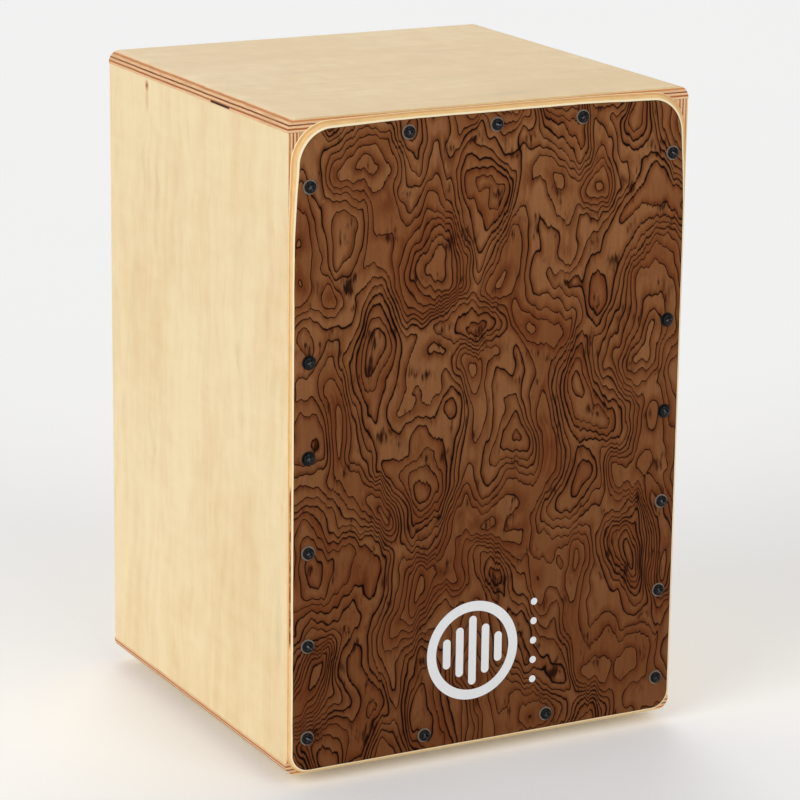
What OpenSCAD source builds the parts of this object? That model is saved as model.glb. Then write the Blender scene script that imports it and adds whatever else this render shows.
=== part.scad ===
// Snare cajon: a plywood box drum with a screwed-on striking plate.
// Millimetres, +Z up. The player's side (striking plate) faces -Y.
// The origin is on the floor, under the middle of the whole drum.

/* [Body] */
// Width of the box, side to side
body_w = 300; // [260:1:340]
// Height of the box without its feet
body_h = 444; // [400:1:500]
// Depth of the box without the striking plate
body_d = 286; // [240:1:320]
// Thickness of the top, bottom and side panels
panel_t = 9; // [8:0.5:15]
// Radius of the four long edges of the box
edge_round = 8.5; // [3:0.5:8.5]

/* [Striking plate] */
// Thickness of the striking plate
plate_t = 4; // [3:0.5:5]
// How far the plate stops short of the box on every side
plate_inset = 0.5; // [0:0.5:2]
// Radius of the two upper corners of the plate
plate_top_round = 28; // [12:1:40]
// Radius of the two lower corners of the plate
plate_bottom_round = 15; // [12:1:40]
// Radius of the rounded front edge of the plate
plate_edge_round = 6; // [3:0.5:8]

/* [Plate screws] */
// Distance from the box's outside to the side and bottom screws
screw_margin = 14; // [12:0.1:16]
// Distance from the top of the box down to the two corner screws
corner_screw_drop = 44; // [30:1:60]
// Number of ordinary screws in each side column
side_screw_count = 5; // [3:1:6]
// Spacing of the ordinary screws in each side column
side_screw_pitch = 64.5; // [50:0.5:65]
// Height of the lowest side screws above the bottom of the box
side_screw_start = 26.5; // [20:0.5:30]
// Number of screws in the top row
top_screw_count = 3; // [2:1:4]
// Spacing of the screws in the top row
top_screw_pitch = 65; // [50:1:70]
// Number of screws in the bottom row
bottom_screw_count = 2; // [2:1:3]
// Spacing of the screws in the bottom row
bottom_screw_pitch = 95; // [60:1:100]
// Diameter of a plate screw's head
head_d = 8; // [7.6:0.1:9]
// Height of a plate screw's head
head_h = 2.3; // [2:0.1:3]
// Diameter of a plate screw's shank
shank_d = 4.2; // [3.5:0.1:4.5]
// Length of a plate screw under its head
shank_len = 16; // [14:1:18]
// Diameter of the washer under a plate screw
washer_d = 9.8; // [9.6:0.1:11]
// Thickness of the washer under a plate screw
washer_t = 0.7; // [0.5:0.1:1]

/* [Inner frame] */
// Width and depth of the battens that the plate screws bite into
front_batten = 15; // [14:1:20]
// Width and depth of the battens that hold the back panel
rear_batten = 12; // [10:1:18]
// Thickness of the back panel
back_t = 5; // [4:0.5:8]
// Diameter of the sound hole
sound_hole_d = 120; // [100:1:130]
// Height of the sound hole's centre above the bottom of the box
sound_hole_z = 244; // [180:1:280]

/* [Snares] */
// Height of the snare bar's middle above the bottom of the box
snare_bar_z = 300; // [240:1:330]
// Height of the snare bar's face
snare_bar_h = 26; // [22:1:30]
// Depth of the snare bar
snare_bar_t = 14; // [12:1:18]
// Lean of the snare bar and its wires towards the plate
snare_lean = 8; // [6:0.5:10]
// Number of wires in each half of the snares
snare_wire_count = 10; // [6:1:12]
// Outside diameter of a coiled snare wire
snare_wire_d = 2; // [1.6:0.1:2.4]
// Free length of a snare wire
snare_wire_len = 96; // [80:1:110]
// Spacing of neighbouring snare wires
snare_wire_pitch = 7; // [5:0.5:8]

/* [Feet] */
// Diameter of a rubber foot
foot_d = 30; // [24:1:36]
// Height of a rubber foot
foot_h = 8; // [6:0.5:10]
// Distance from the outside of the box to a foot's centre
foot_inset = 50; // [40:1:70]

/* [Emblem] */
// Outside diameter of the printed ring
emblem_d = 70; // [50:1:80]
// Height of the emblem's centre above the bottom of the box
emblem_z = 69; // [55:1:90]
// Sideways place of the ring's centre
emblem_x = -11; // [-40:1:20]

/* [Hidden] */
$fn = 64;

birch = "#ebd5ab";
burl = "#6b3f22";
batten_wood = "#d8b98a";
black_steel = "#1c1c1e";
dark_steel = "#4a4a4c";
bright_steel = "#c9cbce";
brass = "#b89a4e";
rubber = "#1a1a1a";
print_white = "#f2f2f2";

// Running clearance on the radius of a screw that turns in its hole
turn_gap = 0.05;
// Clearance on the radius of a hole that a screw only passes through
pass_gap = 0.3;
// Extra reach of a cutting shape past the surface it cuts
cut = 1;

overall_d = body_d + plate_t + washer_t + head_h;
rear_y = overall_d / 2;
box_front_y = rear_y - body_d;
plate_front_y = box_front_y - plate_t;
floor_z = foot_h;
top_z = foot_h + body_h;
inner_w = body_w - 2 * panel_t;
inner_h = body_h - 2 * panel_t;
inner_floor_z = floor_z + panel_t;
inner_top_z = top_z - panel_t;

side_screw_x = body_w / 2 - screw_margin;
corner_screw_z = top_z - corner_screw_drop;
top_row_z = top_z - screw_margin;
bottom_row_z = floor_z + screw_margin;

rear_batten_y = rear_y - back_t - rear_batten;

// Snares
// Gap left between the tips of the wires and the plate's back
snare_tip_gap = 0.3;
snare_strip_t = 0.8;
snare_strip_h = 14;
// Length of wire soldered onto the strip
snare_solder_len = 5;
snare_screw_d = 3;
snare_screw_len = 10;
bar_screw_len = 24;
snare_block = 20;
snare_half_w = snare_wire_pitch * (snare_wire_count - 1);
snare_half_x = body_w / 5;
wire_reach = snare_bar_h / 2 + snare_wire_len;
// Distance from the bar's front face to the middle of a wire
wire_stand = snare_strip_t + snare_wire_d / 2;
snare_face_y = box_front_y + snare_tip_gap + wire_reach * sin(snare_lean)
    + (wire_stand + snare_wire_d / 2) * cos(snare_lean);

// Feet
foot_chamfer = 1.5;
foot_recess_d = 16;
foot_recess_h = 3;
foot_washer_d = 14;
foot_washer_t = 1;
foot_head_d = 7;
foot_head_h = 1.8;
foot_shank_d = 3.5;
foot_screw_len = 10;
foot_x = body_w / 2 - foot_inset;
foot_front_y = box_front_y + foot_inset;
foot_rear_y = rear_y - foot_inset;

// Places of the ordinary plate screws, as [x, z]
function row_places(count, pitch, z) =
    [for (i = [0 : count - 1]) [(i - (count - 1) / 2) * pitch, z]];
function column_places(side) =
    [for (i = [0 : side_screw_count - 1])
        [side * side_screw_x, floor_z + side_screw_start + i * side_screw_pitch]];
plain_places = concat(
    column_places(-1),
    column_places(1),
    row_places(top_screw_count, top_screw_pitch, top_row_z),
    row_places(bottom_screw_count, bottom_screw_pitch, bottom_row_z));
left_corner_place = [-side_screw_x, corner_screw_z];
right_corner_place = [side_screw_x, corner_screw_z];
plate_places = concat(plain_places, [left_corner_place, right_corner_place]);

// ---- shared shapes ----

// Moves its children to a place on the plate's front, with +Z pointing out of it
module at_plate(place) {
    translate([place[0], plate_front_y, place[1]]) rotate([90, 0, 0]) children();
}

// A straight hole or pin along its place's Z axis, from z = low to z = high
module bore(diameter, low, high) {
    translate([0, 0, low]) cylinder(h = high - low, d = diameter);
}

// Cross recess of a screw head, cut down from z = 0 and narrowing towards its bottom
module cross_recess(width, depth) {
    slot = width / 4;
    intersection() {
        translate([0, 0, -depth]) cylinder(h = depth + cut, r1 = width / 4, r2 = width / 2 + cut / 4);
        for (turn = [0, 90])
            rotate([0, 0, turn]) translate([-width, -slot / 2, -depth])
                cube([2 * width, slot, depth + cut]);
    }
}

// Pan-head screw: underside of the head at z = 0, shank pointing down
module pan_screw(head_dia, head_height, shank_dia, length) {
    rim = head_height / 3;
    crown = head_height - rim;
    crown_r = (pow(head_dia / 2, 2) + crown * crown) / (2 * crown);
    recess_depth = 0.75 * head_height;
    tip = shank_dia;
    difference() {
        union() {
            cylinder(h = rim, d = head_dia);
            intersection() {
                cylinder(h = head_height, d = head_dia);
                translate([0, 0, head_height - crown_r]) sphere(crown_r, $fn = 128);
            }
        }
        translate([0, 0, head_height]) cross_recess(head_dia / 2, recess_depth);
    }
    bore(shank_dia, tip - length, 0);
    translate([0, 0, -length]) cylinder(h = tip, r1 = shank_dia / 10, r2 = shank_dia / 2);
}

// Flat washer with its lower face at z = 0
module washer(outer_d, hole_d, thickness) {
    difference() {
        bore(outer_d, 0, thickness);
        bore(hole_d, -cut, thickness + cut);
    }
}

// Outline of the box's cross-section with its four long edges rounded
module box_outline() {
    x = body_w / 2 - edge_round;
    low = floor_z + edge_round;
    high = top_z - edge_round;
    translate([-body_w / 2, low]) square([body_w, high - low]);
    translate([-x, floor_z]) square([2 * x, body_h]);
    for (sx = [-1, 1], z = [low, high])
        translate([sx * x, z]) circle(edge_round);
}

// A slice of the box between two heights, running the box's full depth
module box_slice(z_low, z_high) {
    translate([0, rear_y, 0]) rotate([90, 0, 0]) linear_extrude(body_d) intersection() {
        box_outline();
        translate([-body_w, z_low]) square([2 * body_w, z_high - z_low]);
    }
}

// ---- box ----

module top_panel() {
    color(birch) box_slice(inner_top_z, top_z);
}

module bottom_panel() {
    color(birch) difference() {
        box_slice(floor_z, inner_floor_z);
        for (sx = [-1, 1], sy = [-1, 1])
            at_foot(sx, sy) bore(foot_shank_d, 0, inner_floor_z + cut);
    }
}

module side_panel(side) {
    x = side > 0 ? body_w / 2 - panel_t : -body_w / 2;
    color(birch) translate([x, box_front_y, inner_floor_z]) cube([panel_t, body_d, inner_h]);
}

module left_side_panel() {
    side_panel(-1);
}

module right_side_panel() {
    side_panel(1);
}

module back_panel() {
    color(birch) difference() {
        translate([-inner_w / 2, rear_y - back_t, inner_floor_z]) cube([inner_w, back_t, inner_h]);
        translate([0, rear_y + cut, floor_z + sound_hole_z]) rotate([90, 0, 0])
            cylinder(h = back_t + 2 * cut, d = sound_hole_d, $fn = 128);
    }
}

// ---- striking plate ----

// Section of the plate's edge: x runs outwards, y runs back from the front face
module plate_edge_section() {
    intersection() {
        square([plate_edge_round, plate_t]);
        translate([0, plate_edge_round]) circle(plate_edge_round);
    }
}

// One rounded corner of the plate, at z = 0 with the front face down
module plate_corner(round) {
    mirror([0, 0, 1]) rotate_extrude(angle = 90) translate([round - plate_edge_round, 0])
        mirror([0, 1]) plate_edge_section();
}

// One straight edge of the plate along +X, curving towards +Y
module plate_edge(length) {
    rotate([90, 0, 90]) linear_extrude(length) plate_edge_section();
}

// The plate with its front face at z = 0 and its back at z = plate_t, y upwards
module plate_blank() {
    w = body_w - 2 * plate_inset;
    h = body_h - 2 * plate_inset;
    top = plate_top_round;
    bottom = plate_bottom_round;
    for (flip = [0, 1]) {
        mirror([flip, 0, 0]) {
            translate([w / 2 - top, h - top, 0]) plate_corner(top);
            translate([w / 2 - bottom, bottom, 0]) mirror([0, 1, 0]) plate_corner(bottom);
            translate([w / 2 - plate_edge_round, h - top, 0]) rotate([0, 0, -90])
                plate_edge(h - top - bottom);
        }
    }
    translate([top - w / 2, h - plate_edge_round, 0]) plate_edge(w - 2 * top);
    translate([w / 2 - bottom, plate_edge_round, 0]) rotate([0, 0, 180]) plate_edge(w - 2 * bottom);
    linear_extrude(plate_t) plate_core(w, h, top, bottom);
}

// Flat middle of the plate, inside its rounded edge
module plate_core(w, h, top, bottom) {
    e = plate_edge_round;
    translate([e - w / 2, bottom]) square([w - 2 * e, h - top - bottom]);
    translate([top - w / 2, h - top - cut]) square([w - 2 * top, top - e + cut]);
    translate([bottom - w / 2, e]) square([w - 2 * bottom, bottom - e + cut]);
    for (side = [-1, 1]) {
        translate([side * (w / 2 - top), h - top]) circle(top - e);
        translate([side * (w / 2 - bottom), bottom]) circle(bottom - e);
    }
}

module front_plate() {
    color(burl) difference() {
        at_plate([0, floor_z + plate_inset]) mirror([0, 0, 1]) plate_blank();
        for (place = plate_places)
            at_plate(place) bore(shank_d + 2 * pass_gap, -plate_t - cut, cut);
    }
}

// Printed ring with five upright bars and a column of dots beside it
module emblem() {
    ring_w = emblem_d / 10;
    bar_w = emblem_d / 12;
    bar_pitch = 1.7 * bar_w;
    // Height of each bar as a share of the ring's diameter
    bar_heights = [0.22, 0.42, 0.62, 0.42, 0.22];
    dot_d = emblem_d / 14;
    dot_pitch = emblem_d / 5;
    dot_x = emblem_d / 2 + 2.5 * dot_d;
    film = 0.1;
    color(print_white) at_plate([emblem_x, floor_z + emblem_z]) linear_extrude(film) {
        difference() {
            circle(d = emblem_d, $fn = 128);
            circle(d = emblem_d - 2 * ring_w, $fn = 128);
        }
        for (i = [0 : 4]) {
            x = (i - 2) * bar_pitch;
            reach = emblem_d * bar_heights[i] / 2;
            translate([x - bar_w / 2, -reach]) square([bar_w, 2 * reach]);
            for (end = [-1, 1])
                translate([x, end * reach]) circle(d = bar_w);
        }
        for (i = [-2 : 2])
            translate([dot_x, i * dot_pitch]) circle(d = dot_d);
    }
}

// ---- inner frame ----

// Upright batten in a corner of the box
module upright_batten(side, y, size) {
    x = side > 0 ? inner_w / 2 - size : -inner_w / 2;
    color(batten_wood) translate([x, y, inner_floor_z]) cube([size, size, inner_h]);
}

// Level batten between two upright ones
module level_batten(z, y, size) {
    length = inner_w - 2 * size;
    color(batten_wood) translate([-length / 2, y, z]) cube([length, size, size]);
}

// Pilot holes for the plate screws; a turning screw's hole is cut wider than its shank
module pilot_holes(places, gap) {
    for (place = places)
        at_plate(place) bore(shank_d + 2 * gap, -shank_len, cut);
}

module front_left_batten() {
    difference() {
        upright_batten(-1, box_front_y, front_batten);
        pilot_holes(column_places(-1), 0);
        pilot_holes([left_corner_place], turn_gap);
    }
}

module front_right_batten() {
    difference() {
        upright_batten(1, box_front_y, front_batten);
        pilot_holes(column_places(1), 0);
        pilot_holes([right_corner_place], turn_gap);
    }
}

module front_top_batten() {
    difference() {
        level_batten(inner_top_z - front_batten, box_front_y, front_batten);
        pilot_holes(row_places(top_screw_count, top_screw_pitch, top_row_z), 0);
    }
}

module front_bottom_batten() {
    difference() {
        level_batten(inner_floor_z, box_front_y, front_batten);
        pilot_holes(row_places(bottom_screw_count, bottom_screw_pitch, bottom_row_z), 0);
    }
}

module rear_top_batten() {
    level_batten(inner_top_z - rear_batten, rear_batten_y, rear_batten);
}

module rear_bottom_batten() {
    level_batten(inner_floor_z, rear_batten_y, rear_batten);
}

module rear_left_batten() {
    upright_batten(-1, rear_batten_y, rear_batten);
}

module rear_right_batten() {
    upright_batten(1, rear_batten_y, rear_batten);
}

// ---- plate fasteners ----

module plate_screw(place) {
    color(black_steel) at_plate(place) translate([0, 0, washer_t])
        pan_screw(head_d, head_h, shank_d, shank_len);
}

module plate_washer(place) {
    color(dark_steel) at_plate(place) washer(washer_d, shank_d + 2 * pass_gap, washer_t);
}

module plate_screws() {
    for (place = plain_places) plate_screw(place);
}

module plate_washers() {
    for (place = plain_places) plate_washer(place);
}

module left_corner_screw() {
    plate_screw(left_corner_place);
}

module left_corner_washer() {
    plate_washer(left_corner_place);
}

module right_corner_screw() {
    plate_screw(right_corner_place);
}

module right_corner_washer() {
    plate_washer(right_corner_place);
}

// ---- snares ----

// Local frame of the snares: z = 0 on the bar's front face, +Z towards the plate, +Y along the wires
module at_snares(x = 0) {
    translate([x, snare_face_y, floor_z + snare_bar_z]) rotate([90 + snare_lean, 0, 0]) children();
}

// Moves its children to the two screws of the strip whose middle is at x
module at_strip_screws(x) {
    for (side = [-1, 1])
        at_snares(x + side * snare_half_w / 3) translate([0, 0, snare_strip_t]) children();
}

module snare_bar() {
    color(batten_wood) difference() {
        at_snares() translate([-inner_w / 2, -snare_bar_h / 2, -snare_bar_t])
            cube([inner_w, snare_bar_h, snare_bar_t]);
        for (half = [-1, 1]) {
            at_strip_screws(half * snare_half_x) bore(snare_screw_d, -snare_screw_len, cut);
            at_bar_screw(half) bore(snare_screw_d, -bar_screw_len, cut);
        }
    }
}

// Moves its children to the screw through one end of the bar, side -1 or 1
module at_bar_screw(side) {
    at_snares(side * (inner_w / 2 - snare_block / 2)) children();
}

module snare_end_block(side) {
    x = side > 0 ? inner_w / 2 - snare_block : -inner_w / 2;
    color(batten_wood) difference() {
        at_snares(x) translate([0, -snare_bar_h / 2, -snare_bar_t - snare_block])
            cube([snare_block, snare_bar_h, snare_block]);
        at_bar_screw(side) bore(snare_screw_d, -bar_screw_len, 0);
    }
}

module left_snare_block() {
    snare_end_block(-1);
}

module right_snare_block() {
    snare_end_block(1);
}

module snare_bar_screws() {
    head = 2 * snare_screw_d;
    color(bright_steel) for (side = [-1, 1])
        at_bar_screw(side) pan_screw(head, snare_screw_d / 2, snare_screw_d, bar_screw_len);
}

// Brass strip that one half of the wires is soldered to
module snare_strip(x) {
    width = snare_half_w + 2 * snare_wire_pitch;
    color(brass) difference() {
        at_snares(x) translate([-width / 2, -snare_strip_h / 2, 0])
            cube([width, snare_strip_h, snare_strip_t]);
        at_strip_screws(x) bore(snare_screw_d, -snare_strip_t - cut, cut);
    }
}

module left_snare_strip() {
    snare_strip(-snare_half_x);
}

module right_snare_strip() {
    snare_strip(snare_half_x);
}

module snare_strip_screws() {
    head = 1.8 * snare_screw_d;
    color(bright_steel) for (half = [-1, 1])
        at_strip_screws(half * snare_half_x)
            pan_screw(head, snare_screw_d / 2, snare_screw_d, snare_screw_len);
}

// One half of the snare wires, each a plain rod as thick as the coil
module snare_wires(x) {
    start = snare_strip_h / 2 - snare_solder_len;
    color(bright_steel) for (i = [0 : snare_wire_count - 1])
        at_snares(x + (i - (snare_wire_count - 1) / 2) * snare_wire_pitch)
            translate([0, 0, wire_stand]) rotate([-90, 0, 0])
                bore(snare_wire_d, start, wire_reach, $fn = 24);
}

module left_snare_wires() {
    snare_wires(-snare_half_x);
}

module right_snare_wires() {
    snare_wires(snare_half_x);
}

// ---- feet ----

// Moves its children to a foot's place on the floor
module at_foot(sx, sy) {
    translate([sx * foot_x, sy < 0 ? foot_front_y : foot_rear_y, 0]) children();
}

// Rubber foot with a recess for its washer and screw
module foot(sx, sy) {
    color(rubber) at_foot(sx, sy) difference() {
        union() {
            cylinder(h = foot_chamfer, d1 = foot_d - 2 * foot_chamfer, d2 = foot_d);
            bore(foot_d, foot_chamfer, foot_h);
        }
        bore(foot_recess_d, -cut, foot_recess_h);
        bore(foot_shank_d, 0, foot_h + cut);
    }
}

module front_left_foot() {
    foot(-1, -1);
}

module front_right_foot() {
    foot(1, -1);
}

module rear_left_foot() {
    foot(-1, 1);
}

module rear_right_foot() {
    foot(1, 1);
}

module foot_washers() {
    color(bright_steel) for (sx = [-1, 1], sy = [-1, 1])
        at_foot(sx, sy) translate([0, 0, foot_recess_h - foot_washer_t])
            washer(foot_washer_d, foot_shank_d, foot_washer_t);
}

module foot_screws() {
    color(bright_steel) for (sx = [-1, 1], sy = [-1, 1])
        at_foot(sx, sy) translate([0, 0, foot_recess_h - foot_washer_t]) mirror([0, 0, 1])
            pan_screw(foot_head_d, foot_head_h, foot_shank_d, foot_screw_len);
}

top_panel();
bottom_panel();
left_side_panel();
right_side_panel();
back_panel();
front_plate();
emblem();
front_top_batten();
front_bottom_batten();
front_left_batten();
front_right_batten();
rear_top_batten();
rear_bottom_batten();
rear_left_batten();
rear_right_batten();
plate_screws();
plate_washers();
left_corner_screw();
left_corner_washer();
right_corner_screw();
right_corner_washer();
snare_bar();
left_snare_block();
right_snare_block();
snare_bar_screws();
left_snare_wires();
right_snare_wires();
left_snare_strip();
right_snare_strip();
snare_strip_screws();
front_left_foot();
front_right_foot();
rear_left_foot();
rear_right_foot();
foot_screws();
foot_washers();
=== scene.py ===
"""Looks of the snare cajon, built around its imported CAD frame.

Places are in metres, in the frame's axes. Inside a material's nodes lengths are in mm.
"""

import math
import random

import bmesh
import bpy
from mathutils import Matrix, Vector


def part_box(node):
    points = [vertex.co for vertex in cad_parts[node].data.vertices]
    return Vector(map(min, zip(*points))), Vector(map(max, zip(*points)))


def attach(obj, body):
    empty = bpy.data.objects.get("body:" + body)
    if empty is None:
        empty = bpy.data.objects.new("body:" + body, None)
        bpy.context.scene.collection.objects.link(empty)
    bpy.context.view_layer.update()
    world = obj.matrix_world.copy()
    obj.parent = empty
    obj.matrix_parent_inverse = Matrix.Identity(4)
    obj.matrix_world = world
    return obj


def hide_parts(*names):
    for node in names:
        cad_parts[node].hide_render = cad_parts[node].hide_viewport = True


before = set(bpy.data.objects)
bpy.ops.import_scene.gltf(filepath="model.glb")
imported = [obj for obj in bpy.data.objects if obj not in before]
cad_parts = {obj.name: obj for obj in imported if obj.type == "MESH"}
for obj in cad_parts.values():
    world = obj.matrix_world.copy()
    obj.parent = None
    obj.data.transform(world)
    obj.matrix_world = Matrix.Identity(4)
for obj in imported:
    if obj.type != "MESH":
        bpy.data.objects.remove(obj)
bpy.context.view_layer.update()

MM = 0.001
random.seed(7)

# ---- driving dimensions, from the frame and from how the drum is made ----

top_low, top_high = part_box("top_panel")
bottom_low, bottom_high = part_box("bottom_panel")
left_low, left_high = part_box("left_side_panel")
right_low, right_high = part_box("right_side_panel")
back_low, back_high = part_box("back_panel")
plate_low, plate_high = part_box("front_plate")

PANEL = top_high.z - top_low.z
EDGE_ROUND = 8.5 * MM
PLATE_THICK = plate_high.y - plate_low.y
PLATE_TOP_ROUND = 28 * MM
PLATE_BOTTOM_ROUND = 15 * MM
PLATE_ROUND_TOP_EDGE = 7 * MM
PLATE_ROUND_CORNER = 10 * MM
PLATE_ROUND_LOW = 4.5 * MM
PLATE_HOLE = 4.8 * MM
PLATE_ROUND_FADE = 90 * MM
PLATE_CORNER_REACH = 80 * MM
HEAD_HEIGHT = 2.3 * MM
SHANK_RADIUS = 2.1 * MM
THREAD_PITCH = 1.8 * MM
WASHER_THICK = 0.7 * MM
FOOT_SHANK_RADIUS = 1.75 * MM
SNARE_WIRE_RADIUS = 0.24 * MM
SNARE_COIL_PITCH = 1.25 * MM
SOUND_HOLE_RADIUS = 60 * MM
SOUND_HOLE_Z = 252 * MM
JOINT_ARRIS = 0.15 * MM
OPEN_ARRIS = 0.7 * MM
REAR_ARRIS = 2.2 * MM
SOUND_HOLE_ARRIS = 1.4 * MM
BATTEN_ARRIS = 0.5 * MM

# ---- building materials out of nodes ----


def srgb(red, green, blue):
    """Linear colour for a screen colour given as 0 to 255."""
    def linear(value):
        share = value / 255
        return share / 12.92 if share <= 0.04045 else ((share + 0.055) / 1.055) ** 2.4
    return (linear(red), linear(green), linear(blue), 1.0)


class Paint:
    """The node tree of one material. Values are numbers, colours or other nodes' outputs."""

    def __init__(self, name):
        self.material = bpy.data.materials.new(name)
        self.material.use_nodes = True
        self.tree = self.material.node_tree
        self.shader = self.tree.nodes["Principled BSDF"]
        coordinates = self.add("TexCoord").outputs["Object"]
        self.place = self.scaled(coordinates, 1 / MM)
        self.x, self.y, self.z = self.add("SeparateXYZ", self.place).outputs

    def add(self, kind, *values, **settings):
        """A new node with its first inputs fed by values."""
        node = self.tree.nodes.new("ShaderNode" + kind)
        for name, value in settings.items():
            setattr(node, name, value)
        for socket, value in zip(node.inputs, values):
            self.feed(socket, value)
        return node

    def feed(self, socket, value):
        if isinstance(value, bpy.types.NodeSocket):
            self.tree.links.new(value, socket)
        else:
            socket.default_value = value

    def feed_all(self, node, values):
        for name, value in values.items():
            self.feed(node.inputs[name], value)

    def math(self, operation, *values):
        return self.add("Math", *values, operation=operation).outputs[0]

    def plus(self, a, b):
        return self.math("ADD", a, b)

    def minus(self, a, b):
        return self.math("SUBTRACT", a, b)

    def times(self, a, b):
        return self.math("MULTIPLY", a, b)

    def total(self, *parts):
        """Sum of (value, weight) parts."""
        result = self.times(*parts[0])
        for part in parts[1:]:
            result = self.plus(result, self.times(*part))
        return result

    def scaled(self, vector, factor):
        node = self.add("VectorMath", vector, operation="SCALE")
        self.feed(node.inputs["Scale"], factor)
        return node.outputs[0]

    def moved(self, vector, offset):
        return self.add("VectorMath", vector, offset, operation="ADD").outputs[0]

    def vector(self, x=0.0, y=0.0, z=0.0):
        return self.add("CombineXYZ", x, y, z).outputs[0]

    def noise_node(self, vector, scale, detail, roughness):
        node = self.add("TexNoise", noise_dimensions="3D")
        self.feed_all(node, {"Vector": vector, "Scale": scale, "Detail": detail, "Roughness": roughness})
        return node

    def noise(self, vector, scale=1.0, detail=2.0, roughness=0.5):
        """Smooth noise that wanders between about -1 and 1."""
        value = self.noise_node(vector, scale, detail, roughness).outputs["Fac"]
        return self.times(self.minus(value, 0.5), 3.0)

    def drift(self, vector, scale, reach, detail=1.0):
        """Noise vector, up to about reach long on each axis."""
        colour = self.noise_node(vector, scale, detail, 0.5).outputs["Color"]
        centred = self.moved(colour, (-0.5, -0.5, -0.5))
        return self.scaled(centred, 3.0 * reach)

    def step(self, value, low, high, start=0.0, end=1.0):
        """Smooth step from start, where value is low, to end, where it is high."""
        node = self.add("MapRange", interpolation_type="SMOOTHSTEP")
        self.feed_all(node, {"Value": value, "From Min": low, "From Max": high,
                             "To Min": start, "To Max": end})
        return node.outputs[0]

    def fall(self, value, low, high):
        """1 where value is low, falling smoothly to 0 where it is high."""
        return self.step(value, low, high, 1.0, 0.0)

    def band(self, value, low, high, soft):
        """1 where value lies between low and high, with soft edges."""
        rise = self.step(value, low - soft, low + soft)
        return self.times(rise, self.fall(value, high - soft, high + soft))

    def luck(self, number):
        """Random value from 0 to 1 for each whole number."""
        node = self.add("TexWhiteNoise", noise_dimensions="1D")
        self.feed(node.inputs["W"], number)
        return node.outputs["Value"]

    def mix(self, share, a, b, blend="MIX"):
        """Colour that goes from a to b as share goes from 0 to 1."""
        node = self.add("Mix", data_type="RGBA", blend_type=blend)
        self.feed(node.inputs[0], share)
        self.feed(node.inputs[6], a)
        self.feed(node.inputs[7], b)
        return node.outputs[2]

    def layers(self, share, stops):
        """Hard-edged colours along share; stops are (where the colour begins, colour)."""
        node = self.add("ValToRGB", share)
        ramp = node.color_ramp
        ramp.interpolation = "LINEAR"
        soft = 0.012
        ramp.elements.remove(ramp.elements[1])
        ramp.elements[0].position = 0.0
        ramp.elements[0].color = stops[0][1]
        for (_, before), (start, colour) in zip(stops, stops[1:]):
            ramp.elements.new(start - soft).color = before
            ramp.elements.new(start + soft).color = colour
        return node.outputs[0]

    def brighten(self, colour, amount):
        """Colour times one plus amount."""
        grey = self.add("CombineColor", *[self.plus(amount, 1.0)] * 3).outputs[0]
        return self.mix(1.0, colour, grey, "MULTIPLY")

    def finish(self, colour, roughness, height, metallic=0.0, shine=0.5, coat=0.0, coat_roughness=0.2):
        """Feeds the shader; height is the relief in mm, and shine the strength of plain reflections."""
        bump = self.add("Bump")
        self.feed_all(bump, {"Height": height, "Distance": MM})
        self.feed_all(self.shader, {"Base Color": colour, "Roughness": roughness, "Metallic": metallic,
                                    "Specular IOR Level": shine, "Coat Weight": coat,
                                    "Coat Roughness": coat_roughness, "Normal": bump.outputs[0]})
        return self.material


# ---- wood ----

BIRCH_LIGHT = srgb(250, 229, 184)
BIRCH_DARK = srgb(229, 195, 140)
BIRCH_GREY = srgb(205, 184, 142)
BIRCH_PINK = srgb(238, 196, 150)
# Painted shade: the darker birch tone that the top board's veneer is mixed towards
BIRCH_SHADED = srgb(222, 192, 138)
PLY_CREAM = srgb(238, 196, 150)
PLY_BROWN = srgb(176, 102, 56)
PLY_ORANGE = srgb(206, 134, 78)
PLY_DARK = srgb(132, 64, 28)
PLY_SMEAR = srgb(206, 148, 98)
KNOT_DARK = srgb(70, 36, 20)
KNOT_RING = srgb(205, 140, 78)
PLY_CHIP = srgb(255, 238, 205)
# Painted shade: near-black colour that stands for the shade inside a void in the ply core
VOID_SHADE = srgb(22, 8, 4)
VOID_CHIPS = 45

# Where each ply begins, as a share of the panel's thickness, and its colour on a cut edge
PANEL_PLIES = [(0.0, PLY_CREAM), (0.13, PLY_ORANGE), (0.26, PLY_CREAM), (0.42, PLY_DARK),
               (0.52, PLY_CREAM), (0.68, PLY_BROWN), (0.82, PLY_CREAM)]
BACK_PLIES = [(0.0, PLY_CREAM), (0.2, PLY_BROWN), (0.4, PLY_CREAM), (0.6, PLY_BROWN), (0.8, PLY_CREAM)]


def grain(paint, across, along, seed, across_scale, along_scale, detail=2.0):
    """Noise drawn out along the grain; the scales are in waves per mm."""
    flat = paint.vector(paint.times(across, across_scale), paint.times(along, along_scale), seed)
    return paint.noise(flat, 1.0, detail)


def knot_mask(paint, across, along, centre, radius, stretch):
    """Distance from a knot's centre, 1 at radius; stretch draws it out along the grain."""
    dx = paint.times(paint.minus(across, centre[0]), 1 / radius)
    dy = paint.times(paint.minus(along, centre[1]), 1 / (radius * stretch))
    return paint.math("SQRT", paint.plus(paint.times(dx, dx), paint.times(dy, dy)))


def knotted(paint, veneer, across, along, centre, radius):
    """The veneer with one small dark knot, and the stain that runs down from it."""
    below = (centre[0], centre[1] - 6 * radius)
    near = knot_mask(paint, across, along, centre, radius, 1.3)
    stain = knot_mask(paint, across, along, below, 3 * radius, 3.0)
    veneer = paint.mix(paint.step(stain, 0.0, 1.0, 0.4, 0.0), veneer, KNOT_RING)
    veneer = paint.mix(paint.step(near, 0.8, 2.8, 0.85, 0.0), veneer, KNOT_RING)
    return paint.mix(paint.fall(near, 0.3, 0.9), veneer, KNOT_DARK)


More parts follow.
